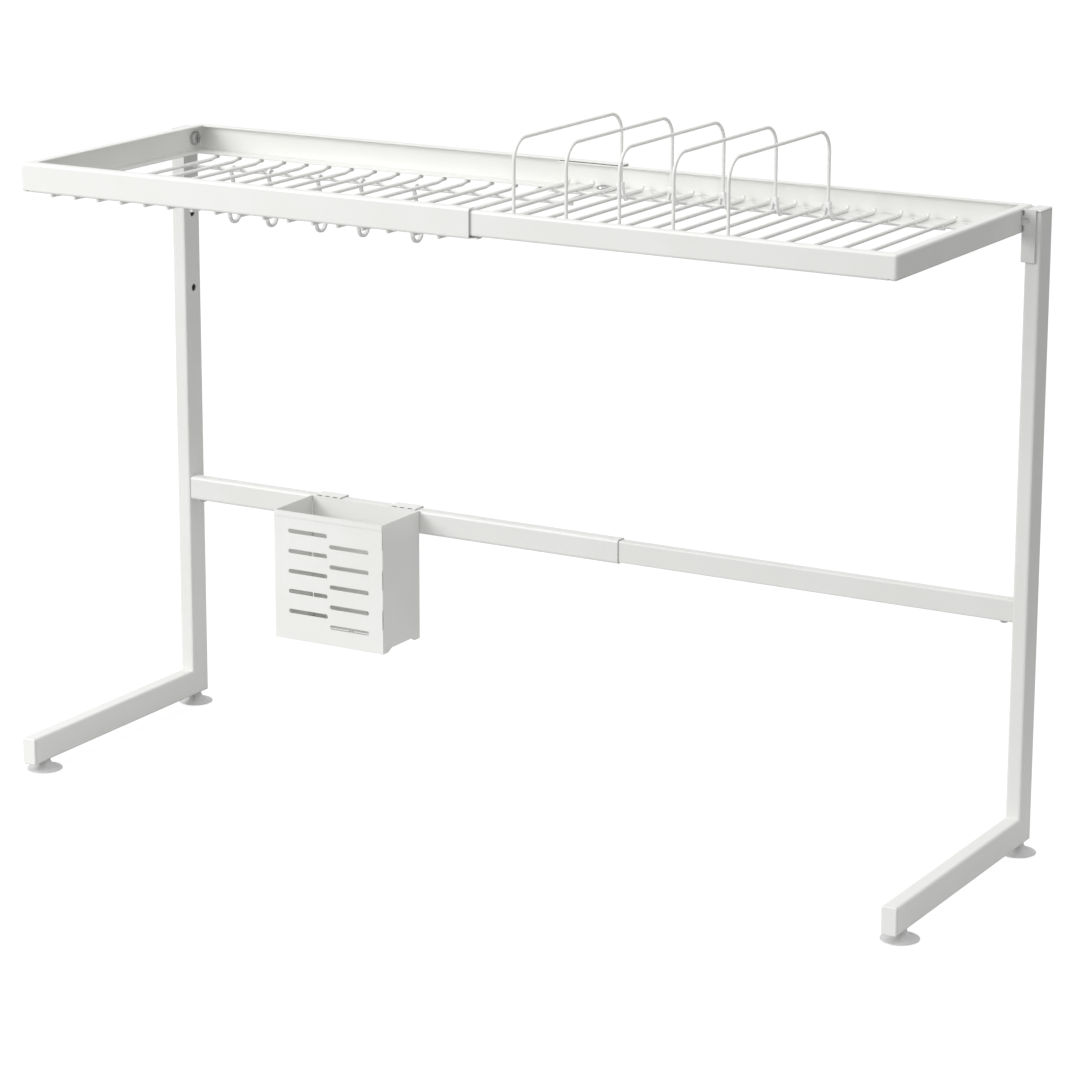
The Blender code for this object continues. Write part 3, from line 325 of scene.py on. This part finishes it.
def mottled(name, scale, dark, light, roughness):
    """A finish whose tone and gloss drift together; roughness is its least and its most."""
    finish = bpy.data.materials.new(name)
    finish.use_nodes = True
    tree = finish.node_tree
    shader = tree.nodes["Principled BSDF"]
    place = tree.nodes.new("ShaderNodeTexCoord")
    cloud = tree.nodes.new("ShaderNodeTexNoise")
    cloud.name = "cloud"
    cloud.inputs["Scale"].default_value = scale
    tree.links.new(place.outputs["Object"], cloud.inputs["Vector"])
    tint = tree.nodes.new("ShaderNodeValToRGB")
    tint.color_ramp.elements[0].color = (*dark, 1)
    tint.color_ramp.elements[1].color = (*light, 1)
    tree.links.new(cloud.outputs["Fac"], tint.inputs["Fac"])
    tree.links.new(tint.outputs["Color"], shader.inputs["Base Color"])
    gloss = tree.nodes.new("ShaderNodeMapRange")
    gloss.inputs["To Min"].default_value, gloss.inputs["To Max"].default_value = roughness
    tree.links.new(cloud.outputs["Fac"], gloss.inputs["Value"])
    tree.links.new(gloss.outputs["Result"], shader.inputs["Roughness"])
    return finish, shader


pad_rubber, rubber_shader = mottled(
    "pad_rubber",
    scale=160,
    dark=(0.66, 0.665, 0.66),
    light=(0.76, 0.765, 0.76),
    roughness=(0.28, 0.42),
)
rubber_shader.inputs["Transmission Weight"].default_value = 0.15
rubber_shader.inputs["IOR"].default_value = 1.42
rubber_shader.inputs["Subsurface Weight"].default_value = 0.3
rubber_shader.inputs["Subsurface Radius"].default_value = (0.004, 0.004, 0.004)

bpy.ops.object.select_all(action="DESELECT")
bpy.ops.mesh.primitive_circle_add(
    vertices=48, radius=pad_sole_radius, fill_type="NGON", location=(0, 0, 0)
)
first_pad = edit_new(bpy.context.object, "pad_master")
height, radius = 0, pad_sole_radius
for next_height, next_radius in pad_outline:
    extrude((0, 0, next_height - height))
    growth = next_radius / radius
    bpy.ops.transform.resize(value=(growth, growth, 1))
    height, radius = next_height, next_radius
finish_piece(first_pad, smooth_degrees=50)
finish_in(first_pad, pad_rubber)
for node in ("left_front_pad", "left_rear_pad", "right_front_pad", "right_rear_pad"):
    foot = middle_of(node)
    pad = copy_piece(first_pad, f"soft_{node}", (foot.x, foot.y, 0))
    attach(pad, body_of(node))
    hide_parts(node)
bpy.data.objects.remove(first_pad, do_unlink=True)

# Stems: white pins, moulded like the plugs, pushed up through the foot out of each pad's socket.
# They are hidden once the pads are on.
for node in ("left_front_stem", "left_rear_stem", "right_front_stem", "right_rear_stem"):
    finish_in(cad[node], plug_plastic)

# Outer grid: seventeen round steel rods welded under the tray's flanges and onto one cross wire,
# then dipped together, so the coat fillets each crossing and rounds each end into a bead.
wire_radius = 0.00165
rod_pitch = 0.025
outer_rods = 17
outer_first_x = -0.3945
flange_z, sunk_z = 0.54255, 0.54105
outer_rod_line = (
    (-0.1345, flange_z),
    (-0.1265, flange_z),
    (-0.1195, 0.54235),
    (-0.1120, 0.5414),
    (-0.1045, sunk_z),
    (0.1100, sunk_z),
    (0.1122, 0.5413),
    (0.1145, 0.5418),
    (0.1168, 0.5423),
    (0.1185, flange_z),
    (0.1240, flange_z),
)
cross_y, cross_z = 0.0875, 0.53815
cross_overhang = 0.0035
end_roll = 0.0009
bead_half_width, bead_half_height, bead_rise = 0.0024, 0.0015, 0.00155
wire_coat = coated("wire_dip_coat", white=0.91, roughness=0.34, peel=0.00002, edge=0.0003)


def select_faces(piece, test):
    """Select the faces whose middle passes a test, in the mesh's own places."""
    bpy.ops.mesh.select_mode(type="FACE")
    bpy.ops.mesh.select_all(action="DESELECT")
    shape = bmesh.from_edit_mesh(piece.data)
    for face in shape.faces:
        middle = sum((corner.co for corner in face.verts), Vector()) / len(face.verts)
        if test(middle, face):
            face.select = True
    shape.select_flush_mode()
    bmesh.update_edit_mesh(piece.data)


def round_ends(piece, size):
    """Roll the rims of the flat end faces, the only faces with many corners, into domes."""
    select_faces(piece, lambda middle, face: len(face.verts) > 8)
    bpy.ops.mesh.region_to_loop()
    bpy.ops.mesh.bevel(
        offset=size, offset_type="OFFSET", segments=3, profile=0.5, affect="EDGES"
    )


def repeat_rods(count):
    """Set out copies of what is selected, each one rod further along."""
    for _ in range(count - 1):
        bpy.ops.mesh.duplicate_move(TRANSFORM_OT_translate={"value": (rod_pitch, 0, 0)})


def start_wire(name, radius, place, tilt):
    """The flat round end of a wire, ready to be drawn out."""
    bpy.ops.object.select_all(action="DESELECT")
    bpy.ops.mesh.primitive_circle_add(
        vertices=16,
        radius=radius,
        fill_type="NGON",
        location=place,
        rotation=(math.radians(tilt), 0, 0),
    )
    return edit_new(bpy.context.object, name)


def weld_cross_wire(grid, y, z, first_x, rods):
    """A straight wire under all rods of a grid, every end domed, a bead at each crossing."""
    span = (rods - 1) * rod_pitch
    bpy.ops.mesh.select_mode(type="VERT")
    bpy.ops.mesh.select_all(action="DESELECT")
    bpy.ops.mesh.primitive_cylinder_add(
        vertices=16,
        radius=wire_radius,
        depth=span + 2 * cross_overhang,
        location=(first_x + span / 2, y, z),
        rotation=(0, math.radians(90), 0),
    )
    round_ends(grid, end_roll)
    bpy.ops.mesh.select_mode(type="VERT")
    bpy.ops.mesh.select_all(action="DESELECT")
    bpy.ops.mesh.primitive_uv_sphere_add(
        segments=12, ring_count=8, radius=1, location=(first_x, y, z + bead_rise)
    )
    bpy.ops.transform.resize(value=(bead_half_width, bead_half_width, bead_half_height))
    repeat_rods(rods)


outer_grid = start_wire("dipped_outer_grid", wire_radius, (outer_first_x, *outer_rod_line[0]), 90)
y, z = outer_rod_line[0]
for next_y, next_z in outer_rod_line[1:]:
    extrude((0, next_y - y, next_z - z))
    y, z = next_y, next_z
bpy.ops.mesh.select_all(action="SELECT")
repeat_rods(outer_rods)
weld_cross_wire(outer_grid, cross_y, cross_z, outer_first_x, outer_rods)
finish_piece(outer_grid, smooth_degrees=40)
finish_in(outer_grid, wire_coat)
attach(outer_grid, "left_side")
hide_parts("outer_wire_grid")

# Inner grid: sixteen rods on the inner tray's ledge, their back ends turned up short, with a
# cross wire along the ledge's edge, dipped as one.
inner_rods = 16
inner_first_x = -0.017
inner_rod_z = 0.54975
inner_front_y, inner_back_y = -0.1349, 0.1255
inner_cross_y, inner_cross_z = 0.09645, 0.54685
upturn_radius, upturn_rise = 0.0021, 0.0014
inner_grid = start_wire(
    "dipped_inner_grid", wire_radius, (inner_first_x, inner_front_y, inner_rod_z), 90
)
extrude((0, inner_back_y - upturn_radius - inner_front_y, 0))
bpy.ops.mesh.spin(
    steps=6,
    angle=math.radians(-90),
    center=(inner_first_x, inner_back_y - upturn_radius, inner_rod_z + upturn_radius),
    axis=(1, 0, 0),
)
extrude((0, 0, upturn_rise))
bpy.ops.mesh.select_all(action="SELECT")
repeat_rods(inner_rods)
weld_cross_wire(inner_grid, inner_cross_y, inner_cross_z, inner_first_x, inner_rods)
finish_piece(inner_grid, smooth_degrees=40)
finish_in(inner_grid, wire_coat)
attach(inner_grid, "right_side")
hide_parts("inner_wire_grid")

# Plate arches: five hoops of thinner wire, each bent from one length and dipped, with two legs
# that stand in forked clips.
arch_radius = 0.0015
arch_front_y, arch_rear_y = -0.0995, 0.0860
arch_foot_z, arch_top_z = 0.55725, 0.6239
arch_bend = 0.019
arch_first_x, arch_pitch = 0.058, 0.05
arch_numbers = range(1, 6)
arch_bend_z = arch_top_z - arch_bend
arch = start_wire("arch_master", arch_radius, (arch_first_x, arch_front_y, arch_foot_z), 0)
extrude((0, 0, arch_bend_z - arch_foot_z))
for bend_y, next_run in (
    (arch_front_y + arch_bend, (0, arch_rear_y - arch_front_y - 2 * arch_bend, 0)),
    (arch_rear_y - arch_bend, (0, 0, arch_foot_z - arch_bend_z)),
):
    bpy.ops.mesh.spin(
        steps=14,
        angle=math.radians(90),
        center=(arch_first_x, bend_y, arch_bend_z),
        axis=(1, 0, 0),
    )
    extrude(next_run)
finish_piece(arch, smooth_degrees=40)
finish_in(arch, wire_coat)
for number in arch_numbers:
    hoop = copy_piece(arch, f"dipped_arch_{number}", ((number - 1) * arch_pitch, 0, 0))
    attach(hoop, f"arch_{number}")
    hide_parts(f"plate_arch_{number}")
bpy.data.objects.remove(arch, do_unlink=True)

# Forked clips: moulded in milky plastic, a socket for the arch's leg over two thin prongs that
# spread over a rod and flare at their tips.
clip_width, clip_depth = 0.005, 0.005
clip_top_z = inner_rod_z + 0.0122
clip_crotch_z = inner_rod_z + 0.0068
prong_gap = 0.0018
prong_splay, prong_flare, prong_tip = 0.0015, 0.0021, 0.0036
clip_bore, clip_bore_depth = 0.0018, 0.005
clip_softness = 0.00035


def milky(name, tone, clearness):
    """A translucent white moulding with faint flow marks."""
    moulding, shader = mottled(
        name,
        scale=120,
        dark=(tone * 0.95, tone * 0.955, tone * 0.95),
        light=(tone, tone, tone),
        roughness=(0.22, 0.36),
    )
    moulding.node_tree.nodes["cloud"].inputs["Distortion"].default_value = 1.5
    shader.inputs["Transmission Weight"].default_value = clearness
    shader.inputs["IOR"].default_value = 1.46
    shader.inputs["Subsurface Weight"].default_value = 0.35
    shader.inputs["Subsurface Radius"].default_value = (0.003, 0.003, 0.003)
    return moulding


def cut_away(piece, cutter, name):
    """Cut one solid out of another and throw the cutter away."""
    bpy.ops.object.select_all(action="DESELECT")
    piece.select_set(True)
    bpy.context.view_layer.objects.active = piece
    cut = piece.modifiers.new(name, "BOOLEAN")
    cut.operation = "DIFFERENCE"
    cut.object = cutter
    bpy.ops.object.modifier_apply(modifier=name)
    bpy.data.objects.remove(cutter, do_unlink=True)


clip_plastic = milky("clip_moulding", tone=0.95, clearness=0.05)
bpy.ops.object.select_all(action="DESELECT")
bpy.ops.mesh.primitive_cube_add(size=1, location=(0, 0, (clip_top_z + clip_crotch_z) / 2))
clip = edit_new(bpy.context.object, "clip_master")
bpy.ops.transform.resize(value=(clip_width, clip_depth, clip_top_z - clip_crotch_z))
for cut_x in (-prong_gap / 2, prong_gap / 2):
    bpy.ops.mesh.select_all(action="SELECT")
    bpy.ops.mesh.bisect(plane_co=(cut_x, 0, clip_crotch_z), plane_no=(1, 0, 0))
for side in (-1, 1):
    select_faces(
        clip, lambda middle, face: middle.x * side > prong_gap / 2 and face.normal.z < -0.9
    )
    extrude((side * prong_splay, 0, inner_rod_z - clip_crotch_z))
    extrude((side * prong_flare, 0, -prong_tip))
bpy.ops.object.mode_set(mode="OBJECT")
bpy.ops.mesh.primitive_cylinder_add(
    vertices=24, radius=clip_bore, depth=2 * clip_bore_depth, location=(0, 0, clip_top_z)
)
cut_away(clip, bpy.context.object, "leg_socket")
soft = clip.modifiers.new("soft_edges", "BEVEL")
soft.width = clip_softness
soft.segments = 2
soft.limit_method = "ANGLE"
soft.angle_limit = math.radians(25)
bpy.ops.object.modifier_apply(modifier="soft_edges")
bpy.ops.object.mode_set(mode="EDIT")
finish_piece(clip, smooth_degrees=50)
finish_in(clip, clip_plastic)
for number in arch_numbers:
    for end, end_y in (("front", arch_front_y), ("rear", arch_rear_y)):
        place = (arch_first_x + (number - 1) * arch_pitch, end_y, 0)
        fork = copy_piece(clip, f"milky_{end}_clip_{number}", place)
        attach(fork, f"arch_{number}")
        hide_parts(f"{end}_clip_{number}")
bpy.data.objects.remove(clip, do_unlink=True)

# Utensil hooks: flat J hooks moulded in milky plastic. An eye snaps over the cross wire, the shank
# leans back, the bowl turns up and the tip flares to take a ring.
hook_width, hook_depth, hook_edge = 0.0035, 0.0024, 0.0009
hook_lean = math.radians(18)
eye_radius = 0.00315
bowl_radius = 0.00775
bowl_behind, bowl_drop = 0.001942, 0.04125
bowl_turn = math.radians(171)
neck_share, shank_swell = 0.12, 1.25
hook_tip = Vector((0, -0.0025, 0.0158))
hook_tip_roll = 0.0006
hook_plastic = milky("hook_moulding", tone=0.94, clearness=0.1)
pivot = Vector((0, cross_y, cross_z))
along_lean = Vector((0, math.cos(hook_lean), math.sin(hook_lean)))
bowl_middle = pivot + Vector((0, bowl_behind, -bowl_drop))
shank = bowl_middle + along_lean * bowl_radius - (pivot - along_lean * eye_radius)
bpy.ops.object.select_all(action="DESELECT")
bpy.ops.mesh.primitive_plane_add(size=1, location=pivot + Vector((0, eye_radius, 0)))
hook = edit_new(bpy.context.object, "hook_master")
bpy.ops.transform.resize(value=(hook_width, hook_depth, 1))
bpy.ops.mesh.bevel(offset=hook_edge, offset_type="OFFSET", segments=3, affect="VERTICES")
bpy.ops.mesh.select_all(action="SELECT")
bpy.ops.mesh.spin(
    steps=26, angle=math.radians(-180) - hook_lean, center=pivot, axis=(1, 0, 0)
)
extrude(shank * neck_share)
bpy.ops.transform.resize(value=(1, shank_swell, shank_swell))
extrude(shank * (1 - neck_share))
bpy.ops.mesh.spin(steps=24, angle=bowl_turn + hook_lean, center=bowl_middle, axis=(1, 0, 0))
extrude(hook_tip)
round_ends(hook, hook_tip_roll)
finish_piece(hook, smooth_degrees=50)
finish_in(hook, hook_plastic)
for number in range(1, 6):
    node = f"utensil_hook_{number}"
    hanger = copy_piece(hook, f"milky_hook_{number}", (middle_of(node).x, 0, 0))
    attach(hanger, f"hook_{number}")
    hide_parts(node)
bpy.data.objects.remove(hook, do_unlink=True)

# Screws: zinc plated steel. Two button heads hold the trays, two pan heads hold the bar from
# below, and a flat one locks the width. Each head has a crossed recess.
round_share = 0.6
arm_share, slot_share, depth_share = 0.55, 0.42, 0.45
zinc, zinc_shader = mottled(
    "zinc_plate",
    scale=500,
    dark=(0.46, 0.46, 0.465),
    light=(0.62, 0.62, 0.625),
    roughness=(0.24, 0.4),
)
zinc_shader.inputs["Metallic"].default_value = 1

for node, head_radius, head_height, shank_radius, outward in (
    ("left_tray_screw", 0.0066, 0.0032, 0.003, (1, 0, 0)),
    ("right_tray_screw", 0.0066, 0.0032, 0.003, (-1, 0, 0)),
    ("lock_screw", 0.0065, 0.0022, 0.0019, (0, 0, 1)),
    ("left_bar_screw", 0.0034, 0.0018, 0.0015, (0, 0, -1)),
    ("right_bar_screw", 0.0034, 0.0018, 0.0015, (0, 0, -1)),
):
    low, high = (Vector(corner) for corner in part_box(node))
    out = Vector(outward)
    screw_length = abs((high - low).dot(out))
    bpy.ops.object.select_all(action="DESELECT")
    bpy.ops.mesh.primitive_cylinder_add(vertices=32, radius=head_radius, depth=head_height)
    screw = edit_new(bpy.context.object, f"plated_{node}")
    select_faces(screw, lambda middle, face: face.normal.z > 0.9)
    bpy.ops.mesh.region_to_loop()
    bpy.ops.mesh.bevel(
        offset=head_height * round_share, offset_type="OFFSET", segments=5, affect="EDGES"
    )
    select_faces(screw, lambda middle, face: face.normal.z < -0.9)
    bpy.ops.mesh.inset(thickness=head_radius - shank_radius)
    extrude((0, 0, head_height - screw_length))
    bpy.ops.object.mode_set(mode="OBJECT")
    arm = head_radius * arm_share
    for wide, deep in ((arm * 2, arm * slot_share), (arm * slot_share, arm * 2)):
        bpy.ops.mesh.primitive_cube_add(size=1, location=(0, 0, head_height / 2))
        cross = bpy.context.object
        cross.scale = (wide, deep, head_height * depth_share * 2)
        bpy.ops.object.transform_apply(location=True, rotation=True, scale=True)
        cut_away(screw, cross, "crossed_recess")
    screw.location = (low + high + out * (screw_length - head_height)) / 2
    screw.rotation_euler = out.to_track_quat("Z", "Y").to_euler()
    bpy.ops.object.mode_set(mode="EDIT")
    finish_piece(screw, smooth_degrees=35)
    finish_in(screw, zinc)
    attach(screw, body_of(node))
    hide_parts(node)
